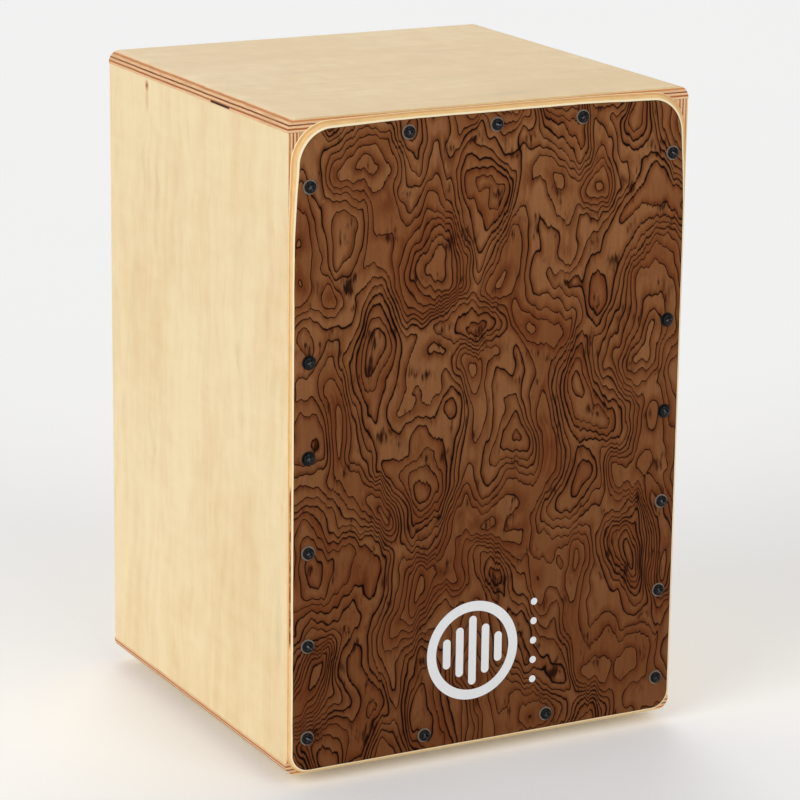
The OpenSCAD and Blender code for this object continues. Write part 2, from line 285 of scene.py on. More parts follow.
def birch_face(paint, across, along, seed, figure, painted_shade):
    """Colour of a birch face veneer, with its fine grain and its pores, for the relief."""
    sway = paint.times(grain(paint, across, along, seed + 3, 0.012, 0.012), 9.0)
    swayed = paint.plus(across, sway)
    fine = grain(paint, swayed, along, seed, 1.1, 0.028, 3.0)
    middle = grain(paint, swayed, along, seed + 5, 0.13, 0.010)
    broad = grain(paint, swayed, along, seed + 9, 0.021, 0.005)
    mottle = grain(paint, across, along, seed + 13, 0.055, 0.045, 3.0)
    arches = paint.math("SINE", paint.total((swayed, 0.42), (along, 0.05)))
    arched = paint.step(grain(paint, across, along, seed + 17, 0.012, 0.006, 1.0), 0.0, 0.6)
    ripple = grain(paint, across, along, seed + 21, 0.035, 0.11)
    tone = paint.total((broad, 0.30), (middle, 0.11), (fine, 0.13), (paint.times(arches, arched), 0.06),
                       (mottle, 0.13 * figure), (ripple, 0.07 * figure))
    # Painted shade: painted_shade darkens the whole face and mixes it towards BIRCH_SHADED
    veneer = paint.mix(paint.step(paint.plus(tone, 0.36 + painted_shade), 0.0, 1.0), BIRCH_LIGHT, BIRCH_DARK)
    veneer = paint.mix(painted_shade, veneer, BIRCH_SHADED)

    smoke = grain(paint, swayed, along, seed + 25, 0.05, 0.012, 3.0)
    veneer = paint.mix(paint.step(smoke, 0.25, 0.95, 0.0, 0.4 * figure), veneer, BIRCH_GREY)
    blush = grain(paint, across, along, seed + 27, 0.02, 0.008)
    veneer = paint.mix(paint.step(blush, 0.2, 0.9, 0.0, 0.35), veneer, BIRCH_PINK)
    fleck = paint.step(grain(paint, swayed, along, seed + 31, 0.7, 0.09, 1.0), 0.8, 1.1)
    veneer = paint.brighten(veneer, paint.times(fleck, 0.07))
    pore = paint.step(grain(paint, swayed, along, seed + 29, 2.6, 0.14, 1.0), 0.62, 0.85)
    veneer = paint.brighten(veneer, paint.times(pore, -0.07))
    return veneer, fine, pore


def cut_edge(paint, share, wandering, speckle, seed, plies):
    """Colour of the plies, smeared and marked as sawn and sanded end grain is."""
    edge = paint.layers(wandering, plies)
    smear = paint.step(paint.noise(paint.place, 0.04, 3.0), -0.3, 0.8, 0.0, 0.5)
    edge = paint.mix(smear, edge, PLY_SMEAR)
    long_marks = paint.vector(paint.times(share, 14.0), paint.times(paint.y, 0.07), seed)
    long_marks = paint.noise(long_marks, 1.0, 3.0)
    return paint.brighten(edge, paint.total((speckle, 0.17), (long_marks, 0.2)))


def voided(paint, edge, speckle, depth, low, high):
    """The left cut edge with a gap in its core from low to high, each (y, depth), painted near-black as the
    gap's shade, and chips beside it.
    """
    on_left = paint.fall(paint.x, 0.0, 1.0)
    chips = paint.band(paint.y, high[0], high[0] + VOID_CHIPS, 3.0)
    chips = paint.times(chips, paint.step(speckle, 0.15, 0.6))
    chips = paint.times(chips, paint.band(depth, low[1] - 0.6, high[1], 0.3))
    edge = paint.mix(paint.times(chips, paint.times(on_left, 0.8)), edge, PLY_CHIP)
    # Painted shade: the gap is a near-black patch on the flat edge, not a hollow
    gap = paint.times(paint.band(paint.y, low[0], high[0], 0.6), paint.band(depth, low[1], high[1], 0.12))
    return paint.mix(paint.times(gap, on_left), edge, VOID_SHADE)


def birch_ply(name, thickness_axis, face, thickness, grain_axis, seed, plies,
              knots=(), voids=(), figure=1.0, painted_shade=0.0):
    """Lacquered birch plywood: a face veneer, and plies wherever a cut or rounded edge goes deeper.

    face is where the outer face lies on thickness_axis. figure sets how strong the veneer's wavy, greyish
    markings are, and painted_shade how much darker the face is painted, as painted shade.
    """
    paint = Paint(name)
    axes = {"x": paint.x, "y": paint.y, "z": paint.z}
    across_axis = ({"x", "y", "z"} - {thickness_axis, grain_axis}).pop()
    across, along = axes[across_axis], axes[grain_axis]
    veneer, fine, pore = birch_face(paint, across, along, seed, figure, painted_shade)
    for centre, radius in knots:
        veneer = knotted(paint, veneer, across, along, centre, radius)

    depth = paint.math("ABSOLUTE", paint.minus(axes[thickness_axis], face))
    share = paint.times(depth, 1 / thickness)
    wander = paint.total((paint.noise(paint.place, 0.05, 3.0), 0.02), (paint.noise(paint.place, 0.4), 0.012))
    wandering = paint.plus(share, wander)
    speckle = paint.noise(paint.place, 1.4, 2.0, 0.7)
    edge = cut_edge(paint, share, wandering, speckle, seed, plies)
    for low, high in voids:
        edge = voided(paint, edge, speckle, depth, low, high)
    first = plies[1][0]
    is_face = paint.fall(wandering, first - 0.03, first + 0.01)
    is_edge = paint.minus(1.0, is_face)
    colour = paint.mix(is_face, edge, veneer)

    height = paint.total((fine, 0.012), (pore, -0.02), (paint.times(is_edge, speckle), 0.02))
    roughness = paint.plus(0.43, paint.total((fine, 0.04), (is_edge, 0.12)))
    return paint.finish(colour, roughness, height, shine=0.15, coat=0.03, coat_roughness=0.28)


BURL_TAN = srgb(141, 94, 58)
BURL_BROWN = srgb(127, 78, 44)
BURL_RED = srgb(115, 62, 31)
BURL_SHADE = srgb(80, 36, 13)
BURL_LOW = srgb(104, 54, 23)
BURL_LINE = srgb(14, 3, 0)
BURL_FINE_LINE = srgb(42, 14, 3)
PLATE_CREAM = srgb(255, 238, 198)
PLATE_CORE = srgb(242, 200, 140)
PLATE_CORE_DARK = srgb(228, 176, 114)
GLUE_BROWN = srgb(140, 66, 30)

# Depths from the plate's front, in mm, at which the next layer begins
VENEER_DEPTH = 0.36
CREAM_DEPTH = 0.9
CORE_SPLIT_DEPTH = 2.2
CORE_DEPTH = 3.4
# Heights, and then depths, between which dark glue shows in the core of the plate's left edge, in mm
GLUE_STREAK = (100, 208)
GLUE_DEPTHS = (1.2, 2.1)


def burl_height(paint, x, z):
    """A height field on the plate; its contour lines are the veneer's dark lines."""
    hill_size, hill_height = 50, 8.8
    swirl_size, swirl_reach = 70, 20.0
    curl_size, curl_reach = 17, 3.4
    flat = paint.vector(x, paint.times(z, 0.62), 3.0)
    swirl = paint.drift(flat, 1 / swirl_size, swirl_reach)
    curl = paint.drift(flat, 1 / curl_size, curl_reach)
    place = paint.moved(paint.moved(flat, swirl), curl)
    return paint.times(paint.noise(place, 1 / hill_size, 0.7, 0.42), hill_height)


class Contours:
    """Where a point of the burl veneer lies among its dark lines. Distances are in mm."""

    def __init__(self, paint):
        x, z = paint.x, paint.z
        feather = grain(paint, x, z, 11.0, 0.8, 0.05)
        ragged = paint.step(grain(paint, x, z, 15.0, 0.03, 0.02, 1.0), -0.3, 0.5, 0.35, 1.6)
        fingers = grain(paint, x, z, 13.0, 0.13, 0.012, 1.0)
        z = paint.plus(z, paint.times(feather, ragged))
        z = paint.plus(z, paint.times(fingers, 4.5))

        nudge = 0.25
        here = burl_height(paint, x, z)
        slope_x = paint.times(paint.minus(burl_height(paint, paint.plus(x, nudge), z), here), 1 / nudge)
        slope_z = paint.times(paint.minus(burl_height(paint, x, paint.plus(z, nudge)), here), 1 / nudge)
        squares = paint.plus(paint.times(slope_x, slope_x), paint.times(slope_z, slope_z))
        self.slope = paint.plus(paint.math("SQRT", squares), 0.012)

        self.phase = paint.math("FRACT", here)
        self.to_line = paint.math("DIVIDE", paint.math("PINGPONG", here, 0.5), self.slope)
        self.above_line = paint.math("DIVIDE", self.phase, self.slope)
        self.line_luck = paint.luck(paint.math("FLOOR", paint.plus(here, 0.5)))
        self.band_luck = paint.luck(paint.plus(paint.math("FLOOR", here), 0.5))


def burl_ground(paint, contours, fibre):
    """Colour between the lines: reddish beside a line, tan away from it, and darker low on the plate."""
    warm = paint.noise(paint.place, 1 / 60)
    away = paint.step(contours.above_line, 0.4, 6.5)
    tone = paint.total((contours.band_luck, 0.5), (warm, 0.45), (away, 0.55))
    wood = paint.mix(paint.step(tone, -0.1, 0.6), BURL_RED, BURL_BROWN)
    wood = paint.mix(paint.step(tone, 0.5, 1.15), wood, BURL_TAN)
    streak = grain(paint, paint.x, paint.z, 37.0, 0.3, 0.015)
    wood = paint.brighten(wood, paint.total((fibre, 0.12), (streak, 0.14)))
    speck = grain(paint, paint.x, paint.z, 57.0, 0.75, 0.5)
    wood = paint.brighten(wood, paint.times(speck, 0.09))
    low_down = paint.fall(paint.z, 20.0, 440.0)
    wood = paint.brighten(wood, paint.plus(0.04, paint.times(low_down, -0.2)))
    return paint.mix(paint.times(low_down, 0.35), wood, BURL_LOW)


def burl_smudge(paint, contours, heavy):
    """How dark the streaky smudges are: they lie above some lines and in the flat pockets."""
    streaks = grain(paint, paint.x, paint.z, 41.0, 0.55, 0.09, 3.0)
    clumps = grain(paint, paint.x, paint.z, 45.0, 0.07, 0.045)
    stain = paint.total((clumps, 1.0), (streaks, 0.5), (heavy, 0.2))
    beside = paint.times(paint.fall(contours.above_line, 0.4, 6.0), paint.step(stain, 0.3, 1.0))
    pocket = paint.times(paint.fall(contours.slope, 0.08, 0.2), paint.step(stain, 0.15, 0.95))
    return paint.math("MAXIMUM", beside, pocket)


def burl_marks(paint, contours, wood):
    """The wood with its lines, shades and smudges, and how dark they are.

    A line is fine and reddish where heavy is 0, and a broad black one that bleeds where it is 1.
    """
    heavy = paint.total((grain(paint, paint.x, paint.z, 53.0, 0.025, 0.018), 0.4), (contours.line_luck, 0.6))
    heavy = paint.step(heavy, 0.0, 0.7)
    rise = paint.math("MAXIMUM", paint.times(contours.above_line, 1 / 3.6), paint.times(contours.phase, 1.7))
    patchy = paint.step(grain(paint, paint.x, paint.z, 47.0, 0.05, 0.03), -0.4, 0.5, 0.3, 1.0)
    wood = paint.mix(paint.times(paint.step(rise, 0.0, 1.0, 0.7, 0.0), patchy), wood, BURL_SHADE)
    bleed = paint.times(paint.step(contours.to_line, 0.3, 1.6, 0.6, 0.0), heavy)
    wood = paint.mix(bleed, wood, BURL_SHADE)
    smudge = burl_smudge(paint, contours, heavy)
    wood = paint.mix(smudge, wood, BURL_SHADE)
    wood = paint.mix(paint.step(smudge, 0.2, 1.0, 0.0, 0.8), wood, BURL_LINE)

    uneven = grain(paint, paint.x, paint.z, 43.0, 0.07, 0.05, 1.0)
    half_width = paint.plus(0.32, paint.total((heavy, 0.2), (uneven, 0.10)))
    line = paint.fall(paint.minus(contours.to_line, half_width), -0.2, 0.22)
    line_colour = paint.mix(heavy, BURL_FINE_LINE, BURL_LINE)
    return paint.mix(line, wood, line_colour), paint.math("MAXIMUM", line, smudge)


def plate_edge(paint, depth):
    """The pale layers under the veneer, seen on the plate's rounded edge."""
    along = paint.times(paint.plus(paint.x, paint.z), 0.12)
    core_mark = paint.noise(paint.vector(paint.times(depth, 0.8), along, 5.0), 1.0, 3.0)
    lower_core = paint.step(depth, CORE_SPLIT_DEPTH - 0.1, CORE_SPLIT_DEPTH + 0.1)
    core = paint.mix(lower_core, PLATE_CORE, PLATE_CORE_DARK)
    core = paint.brighten(core, paint.times(core_mark, 0.14))
    left_side = plate_low.x / MM
    on_left = paint.fall(paint.x, left_side + 2, left_side + 4)
    glue = paint.times(on_left, paint.band(paint.z, *GLUE_STREAK, 4.0))
    glue = paint.times(glue, paint.step(core_mark, -0.5, 0.1, 0.3, 1.0))
    core = paint.mix(paint.times(glue, paint.band(depth, *GLUE_DEPTHS, 0.15)), core, GLUE_BROWN)
    edge = paint.mix(paint.step(depth, CREAM_DEPTH - 0.08, CREAM_DEPTH + 0.08), PLATE_CREAM, core)
    return paint.mix(paint.step(depth, CORE_DEPTH - 0.08, CORE_DEPTH + 0.08), edge, PLATE_CREAM)


def burl_veneer(name):
    """Dark burl veneer with fine closed lines, over the layers that show on the plate's rounded edge."""
    paint = Paint(name)
    contours = Contours(paint)
    fibre = grain(paint, paint.x, paint.z, 31.0, 2.2, 0.05, 3.0)
    veneer, dark = burl_marks(paint, contours, burl_ground(paint, contours, fibre))

    wander = paint.times(paint.noise(paint.place, 0.06), 0.06)
    depth = paint.plus(paint.minus(paint.y, plate_low.y / MM), wander)
    veneer = paint.mix(paint.step(depth, VENEER_DEPTH - 0.2, VENEER_DEPTH, 0.0, 0.55), veneer, BURL_LINE)
    is_edge = paint.step(depth, VENEER_DEPTH - 0.06, VENEER_DEPTH + 0.06)
    colour = paint.mix(is_edge, veneer, plate_edge(paint, depth))
    height = paint.total((fibre, 0.010), (dark, -0.015))
    return paint.finish(colour, paint.plus(0.5, paint.times(fibre, 0.05)), height, shine=0.04)


def plain_wood(name, light, dark, grain_axis, seed):
    """Bare softwood or beech strip for the parts inside the box."""
    paint = Paint(name)
    axes = {"x": paint.x, "y": paint.y, "z": paint.z}
    along = axes.pop(grain_axis)
    a, b = axes.values()
    across = paint.plus(a, paint.times(b, 0.7))
    rings = grain(paint, across, along, seed, 0.35, 0.004)
    fine = grain(paint, across, along, seed + 3, 1.8, 0.03, 3.0)
    tone = paint.total((rings, 0.45), (fine, 0.3))
    colour = paint.mix(paint.step(paint.plus(tone, 0.45), 0.0, 1.0), light, dark)
    return paint.finish(colour, paint.plus(0.62, paint.times(fine, 0.06)), paint.times(fine, 0.03))


# ---- other materials ----

BLACKENED = srgb(26, 26, 28)
WORN_METAL = srgb(120, 118, 116)
RUBBER_BLACK = srgb(34, 33, 33)
RUBBER_DUST = srgb(128, 120, 108)
INK_WHITE = srgb(238, 239, 240)


def metal(name, colour, roughness, metallic, scratches=0.0, seed=0.0, shine=0.5, blackened=None):
    """Metal with fine wear: its colour and roughness wander a little and its surface is faintly uneven.

    blackened gives the heights, in mm, between which the metal is black instead.
    """
    paint = Paint(name)
    if blackened:
        colour = paint.mix(paint.band(paint.z, *blackened, 1.0), colour, BLACKENED)
    shifted = paint.moved(paint.place, (seed, seed, seed))
    cloud = paint.noise(shifted, 0.35, 3.0)
    fine = paint.noise(shifted, 3.5, 2.0)
    shade = paint.brighten(colour, paint.total((cloud, 0.12), (fine, 0.06)))
    worn = paint.step(paint.plus(cloud, paint.times(fine, 0.5)), 0.55, 1.1, 0.0, scratches)
    shade = paint.mix(worn, shade, WORN_METAL)
    rough = paint.plus(roughness, paint.times(cloud, 0.08))
    return paint.finish(shade, rough, paint.total((cloud, 0.010), (fine, 0.004)), metallic, shine)


def rubber(name):
    """Matt moulded rubber, a little dusty towards the floor."""
    paint = Paint(name)
    fine = paint.noise(paint.place, 2.5, 3.0, 0.6)
    cloud = paint.noise(paint.place, 0.12, 3.0)
    dust = paint.times(paint.step(paint.z, 0.0, 3.5, 0.22, 0.0), paint.step(cloud, -0.6, 0.8))
    colour = paint.brighten(RUBBER_BLACK, paint.total((fine, 0.1), (cloud, 0.12)))
    colour = paint.mix(dust, colour, RUBBER_DUST)
    return paint.finish(colour, paint.plus(0.72, paint.times(cloud, 0.06)), paint.times(fine, 0.03))


def print_ink(name):
    """White screen-printed ink that lets a few pores of the veneer through."""
    paint = Paint(name)
    pore = grain(paint, paint.x, paint.z, 61.0, 2.4, 0.22)
    gap = paint.step(pore, 0.72, 0.95, 0.0, 0.65)
    cloud = paint.noise(paint.place, 0.15, 3.0)
    white = paint.brighten(INK_WHITE, paint.times(cloud, 0.03))
    colour = paint.mix(gap, white, BURL_TAN)
    fibre = grain(paint, paint.x, paint.z, 31.0, 2.2, 0.05, 3.0)
    return paint.finish(colour, paint.plus(0.46, paint.times(cloud, 0.05)), paint.times(fibre, 0.012))


# ---- building meshes ----

# Edges sharper than this many degrees stay crisp
SHARP_ANGLE = 32


def add_object(name, data, *materials):
    obj = bpy.data.objects.new(name, data)
    bpy.context.scene.collection.objects.link(obj)
    for material in materials:
        data.materials.append(material)
    return obj


def mesh_of(name, shape):
    """Mesh made out of a bmesh, which is used up."""
    mesh = bpy.data.meshes.new(name)
    bmesh.ops.recalc_face_normals(shape, faces=shape.faces)
    shape.to_mesh(mesh)
    shape.free()
    return mesh


def add_piece(name, shape, material, body, slot, *replaced, smooth=SHARP_ANGLE, second=None):
    """Turns a bmesh into a shown piece that rides on a body and stands for CAD nodes.

    second is the material of the faces whose material index is 1.
    """
    materials = [material, second] if second else [material]
    obj = add_object(name, mesh_of(name, shape), *materials)
    soften(obj, smooth)
    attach(obj, body)
    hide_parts(*replaced)
    return obj


def soften(obj, smooth=SHARP_ANGLE):
    """Smooth shading, with edges sharper than smooth degrees kept."""
    obj.data.shade_smooth()
    obj.data.set_sharp_from_angle(angle=math.radians(smooth))


def weigh_edges(obj, offset_of):
    """Bevels each sharp edge by offset_of(its two ends), which may be 0."""
    mesh = obj.data
    widths = []
    for edge in mesh.edges:
        a, b = (mesh.vertices[i].co for i in edge.vertices)
        widths.append(offset_of(a, b) if edge.use_edge_sharp else 0.0)
    widest = max(widths)
    weights = mesh.attributes.new("bevel_weight_edge", "FLOAT", "EDGE")
    weights.data.foreach_set("value", [width / widest for width in widths])
    bevel = obj.modifiers.new("arris", "BEVEL")
    bevel.width = widest
    bevel.segments = 3
    bevel.limit_method = "WEIGHT"
    even_normals(obj)


def bevel_all(obj, width, segments=2, angle=40):
    """Rounds every edge sharper than angle degrees."""
    bevel = obj.modifiers.new("arris", "BEVEL")
    bevel.width = width
    bevel.segments = segments
    bevel.limit_method = "ANGLE"
    bevel.angle_limit = math.radians(angle)
    even_normals(obj)


def even_normals(obj):
    weighted = obj.modifiers.new("normals", "WEIGHTED_NORMAL")
    weighted.keep_sharp = False
    weighted.weight = 60


def arc(centre_x, centre_z, radius, start, end, steps):
    """Points along an arc, as (x, z); angles in degrees, anticlockwise from +X."""
    points = []
    for i in range(steps + 1):
        angle = math.radians(start + (end - start) * i / steps)
        points.append((centre_x + radius * math.cos(angle), centre_z + radius * math.sin(angle)))
    return points


def circle(centre_x, centre_z, radius, steps):
    return arc(centre_x, centre_z, radius, 0, 360 * (steps - 1) / steps, steps - 1)


def loft(rings):
    """Closed skin over rings of points that all have the same count."""
    shape = bmesh.new()
    rows = [[shape.verts.new(point) for point in ring] for ring in rings]
    for lower, upper in zip(rows, rows[1:]):
        for i in range(len(lower)):
            j = (i + 1) % len(lower)
            shape.faces.new((lower[i], lower[j], upper[j], upper[i]))
    shape.faces.new(rows[0])
    shape.faces.new(reversed(rows[-1]))
    return shape


def prism(outline, y_front, y_rear):
    """Solid with an (x, z) outline, from y_front to y_rear."""
    return loft([[(x, y, z) for x, z in outline] for y in (y_front, y_rear)])


def lathe(profile, steps, loop=False):
    """Turns (radius, height) points about Z. A loop closes on itself; other profiles start and end on Z."""
    shape = bmesh.new()
    rows = []
    for radius, height in profile:
        if radius < 1e-9:
            rows.append([shape.verts.new((0, 0, height))] * steps)
            continue
        ring = []
        for i in range(steps):
            angle = 2 * math.pi * i / steps
            ring.append(shape.verts.new((radius * math.cos(angle), radius * math.sin(angle), height)))
        rows.append(ring)
    pairs = list(zip(rows, rows[1:]))
    if loop:
        pairs.append((rows[-1], rows[0]))
    for lower, upper in pairs:
        for i in range(steps):
            j = (i + 1) % steps
            corners = []
            for vertex in (lower[i], lower[j], upper[j], upper[i]):
                if vertex not in corners:
                    corners.append(vertex)
            if len(corners) > 2:
                shape.faces.new(corners)
    return shape


def cut(obj, cutter):
    """Subtracts a bmesh from an object's mesh."""
    tool = add_object("cutter", mesh_of("cutter", cutter))
    boolean = obj.modifiers.new("cut", "BOOLEAN")
    boolean.object = tool
    boolean.operation = "DIFFERENCE"
    boolean.solver = "EXACT"
    bpy.context.view_layer.update()
    graph = bpy.context.evaluated_depsgraph_get()
    result = bpy.data.meshes.new_from_object(obj.evaluated_get(graph))
    obj.modifiers.remove(boolean)
    obj.data = result
    bpy.data.objects.remove(tool)


def merge(target, other, matrix):
    """Adds a copy of the bmesh other to target, moved by matrix."""
    mesh = bpy.data.meshes.new("part")
    other.to_mesh(mesh)
    mesh.transform(matrix)
    target.from_mesh(mesh)
    bpy.data.meshes.remove(mesh)


def drills(places, radius, steps):
    """Cutters along Y through each (x, z) place, long enough for any board."""
    tool = bmesh.new()
    reach = 50 * MM
    for x, z in places:
        hole = prism(circle(x, z, radius, steps), -reach, reach)
        merge(tool, hole, Matrix.Identity(4))
        hole.free()
    return tool


def solids(node):
    """(low corner, high corner) of each separate solid in a CAD node, lowest first."""
    shape = bmesh.new()
    shape.from_mesh(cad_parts[node].data)
    bmesh.ops.remove_doubles(shape, verts=shape.verts, dist=0.01 * MM)
    shape.verts.ensure_lookup_table()
    seen = set()
    boxes = []
    for start in shape.verts:
        if start.index in seen:
            continue
        seen.add(start.index)
        queue = [start]
        points = []
        while queue:
            vertex = queue.pop()
            points.append(vertex.co.copy())
            for edge in vertex.link_edges:
                other = edge.other_vert(vertex)
                if other.index not in seen:
                    seen.add(other.index)
                    queue.append(other)
        low = Vector([min(p[i] for p in points) for i in range(3)])
        high = Vector([max(p[i] for p in points) for i in range(3)])
        boxes.append((low, high))
    shape.free()
    return sorted(boxes, key=lambda box: (round(box[0].z, 4), round(box[0].x, 4), round(box[0].y, 4)))


# ---- box ----


def board_arris(y_front, y_rear):
    """Bevel rule for a board: its front and rear edges are eased, its glued edges only touched."""
    def on(y, a, b):
        return max(abs(a.y - y), abs(b.y - y)) < MM / 10

    def offset(a, b):
        if on(y_rear, a, b):
            return REAR_ARRIS
        return OPEN_ARRIS if on(y_front, a, b) else JOINT_ARRIS
    return offset


def lid_outline(low, high, upward):
    """Section of the top panel, or of the bottom one if upward is false: two corners are rounded."""
    steps = 20
    if upward:
        z = high.z - EDGE_ROUND
        right = arc(high.x - EDGE_ROUND, z, EDGE_ROUND, 0, 90, steps)
        left = arc(low.x + EDGE_ROUND, z, EDGE_ROUND, 90, 180, steps)
        return [(high.x, low.z)] + right + left + [(low.x, low.z)]
    z = low.z + EDGE_ROUND
    left = arc(low.x + EDGE_ROUND, z, EDGE_ROUND, 180, 270, steps)
    right = arc(high.x - EDGE_ROUND, z, EDGE_ROUND, 270, 360, steps)
    return [(low.x, high.z)] + left + right + [(high.x, high.z)]


def rectangle(low, high):
    return [(low.x, low.z), (high.x, low.z), (high.x, high.z), (low.x, high.z)]


# In mm: knots on the left side as ((y, z), radius), and voids in the top's left edge as
# (low, high) corners, each (y, depth)
KNOTS = [((80, 438), 1.5)]
VOIDS = [((-53, 6.9), (-24, 8.2))]


def build_box():
    panel = PANEL / MM
    back_thick = (back_high.y - back_low.y) / MM
    # Painted shade: the top board's veneer is painted darker than the sides' through painted_shade=0.35
    top_wood = birch_ply("birch_top", "z", top_high.z / MM, panel, "x", 1.0, PANEL_PLIES,
                         voids=VOIDS, figure=1.8, painted_shade=0.35)
    bottom_wood = birch_ply("birch_bottom", "z", bottom_low.z / MM, panel, "x", 50.0, PANEL_PLIES)
    left_wood = birch_ply("birch_left", "x", left_low.x / MM, panel, "z", 20.0, PANEL_PLIES, knots=KNOTS)
    right_wood = birch_ply("birch_right", "x", right_high.x / MM, panel, "z", 70.0, PANEL_PLIES)
    back_wood = birch_ply("birch_back", "y", back_high.y / MM, back_thick, "z", 90.0, BACK_PLIES)
    boards = [
        ("top_panel", lid_outline(top_low, top_high, True), top_low, top_high, top_wood),
        ("bottom_panel", lid_outline(bottom_low, bottom_high, False), bottom_low, bottom_high, bottom_wood),
        ("left_side_panel", rectangle(left_low, left_high), left_low, left_high, left_wood),
        ("right_side_panel", rectangle(right_low, right_high), right_low, right_high, right_wood),
    ]
    for name, outline, low, high, wood in boards:
        board = add_piece(name + "_board", prism(outline, low.y, high.y), wood, "cajon", "birch_ply", name)
        weigh_edges(board, board_arris(low.y, high.y))

    back_board = prism(rectangle(back_low, back_high), back_low.y, back_high.y)
    back = add_piece("back_panel_board", back_board, back_wood, "cajon", "birch_ply", "back_panel")
    through = 30 * MM
    rim = circle(0, SOUND_HOLE_Z, SOUND_HOLE_RADIUS, 128)
    cut(back, prism(rim, back_low.y - through, back_high.y + through))
    soften(back)

    def rim_offset(a, b):
        on_hole = math.hypot(a.x, a.z - SOUND_HOLE_Z) < SOUND_HOLE_RADIUS + MM
        return SOUND_HOLE_ARRIS if on_hole else JOINT_ARRIS
    weigh_edges(back, rim_offset)


# ---- striking plate ----


def plate_outline(inset):
    """Points round the plate, shrunk by inset, as (x, z); straight edges are divided too."""
    steps = 24
    corners = [(1, 1, PLATE_TOP_ROUND, 0), (-1, 1, PLATE_TOP_ROUND, 90),
               (-1, -1, PLATE_BOTTOM_ROUND, 180), (1, -1, PLATE_BOTTOM_ROUND, 270)]
    arcs = []
    for side, up, radius, start in corners:
        x = plate_high.x - radius if side > 0 else plate_low.x + radius
        z = plate_high.z - radius if up > 0 else plate_low.z + radius
        arcs.append(arc(x, z, radius - inset, start, start + 90, steps))
    points = []
    for now, after in zip(arcs, arcs[1:] + arcs[:1]):
        points += now
        (x, z), (next_x, next_z) = now[-1], after[0]
        for i in range(1, steps):
            share = i / steps
            points.append((x + (next_x - x) * share, z + (next_z - z) * share))
    return points


def edge_rounding(x, z):
    """Radius of the plate's rounded front edge near (x, z): widest at the upper corners, slim lower down."""
    from_corner = min(1.0, (plate_high.x - abs(x)) / PLATE_CORNER_REACH)
    upper = PLATE_ROUND_CORNER + (PLATE_ROUND_TOP_EDGE - PLATE_ROUND_CORNER) * from_corner
    share = min(1.0, (plate_high.z - z) / PLATE_ROUND_FADE)
    share = share * share * (3 - 2 * share)
    return upper + (PLATE_ROUND_LOW - upper) * share


def plate_profile(round_radius, share):
    """(inset, depth) on the rounded edge: share runs from 0 at the plate's back to 1 on its face."""
    widest = math.acos(1 - PLATE_THICK / round_radius)
    angle = widest * (1 - share)
    return round_radius * (1 - math.sin(angle)), round_radius * (1 - math.cos(angle))


def build_plate():
    material = burl_veneer("burl_plate")
    steps = 14
    hole_steps = 32
    outer = plate_outline(0.0)
    inner = plate_outline(MM)
    rings = []
    for i in range(steps + 1):
        ring = []
        for (x, z), (x_in, z_in) in zip(outer, inner):
            inset, depth = plate_profile(edge_rounding(x, z), i / steps)
            ring.append((x + (x_in - x) * inset / MM, plate_low.y + depth, z + (z_in - z) * inset / MM))
        rings.append(ring)
    plate = add_piece("striking_plate", loft(rings), material, "cajon", "burl_plate", "front_plate")
    places = []
    for node in ("plate_screws", "left_corner_screw", "right_corner_screw"):
        for low, high in solids(node):
            places.append(((low.x + high.x) / 2, (low.z + high.z) / 2))
    tool = drills(places, PLATE_HOLE / 2, hole_steps)
    bmesh.ops.translate(tool, verts=tool.verts, vec=(0, plate_low.y, 0))
    cut(plate, tool)
    soften(plate)
    weigh_edges(plate, lambda a, b: JOINT_ARRIS)


# ---- fasteners ----


def head_profile(radius, height):
    """Pan head from its underside's centre to its top's centre, as (radius, height)."""
    rim = 0.45 * height
    ease = 0.12 * radius
    profile = [(0, 0), (radius - ease / 2, 0), (radius, ease / 2), (radius, rim)]
    dome_steps = 10
    dome_power = 0.8
    for i in range(1, dome_steps):
        angle = math.radians(90 * i / dome_steps)
        profile.append((radius * math.cos(angle) ** dome_power, rim + (height - rim) * math.sin(angle)))
    return profile + [(0, height)]


def wing(length, width, depth, top):
    """Tapered wedge that cuts one slot of a cross recess."""
    lower = (length * 0.42, width * 0.55, top - depth)
    upper = (length * 0.62, width * 0.72, top + 0.3 * depth)
    corners = ((-1, -1), (1, -1), (1, 1), (-1, 1))
    return loft([[(i * half_length, j * half_width, z) for i, j in corners]
                 for half_length, half_width, z in (lower, upper)])


def thread(radius, length, pitch):
    """Wood screw shank below z = 0: a plain neck, a helical ridge and a tapered tip."""
    steps = 20
    rows = int(length / pitch * 6)
    core = 0.68 * radius
    neck = 0.12 * length
    tip = 2.4 * radius
    rings = []
    for row in range(rows + 1):
        z = -length * row / rows
        taper = min(1.0, (length + z) / tip + 0.08)
        ring = []
        for i in range(steps):
            angle = 2 * math.pi * i / steps
            phase = (-z / pitch + i / steps) % 1.0
            ridge = max(0.0, 1 - abs(phase - 0.5) / 0.22) if -z > neck else 0.0
            reach = (core + (radius - core) * ridge) * taper
            ring.append((reach * math.cos(angle), reach * math.sin(angle), z))
        rings.append(ring)
    return loft(rings)


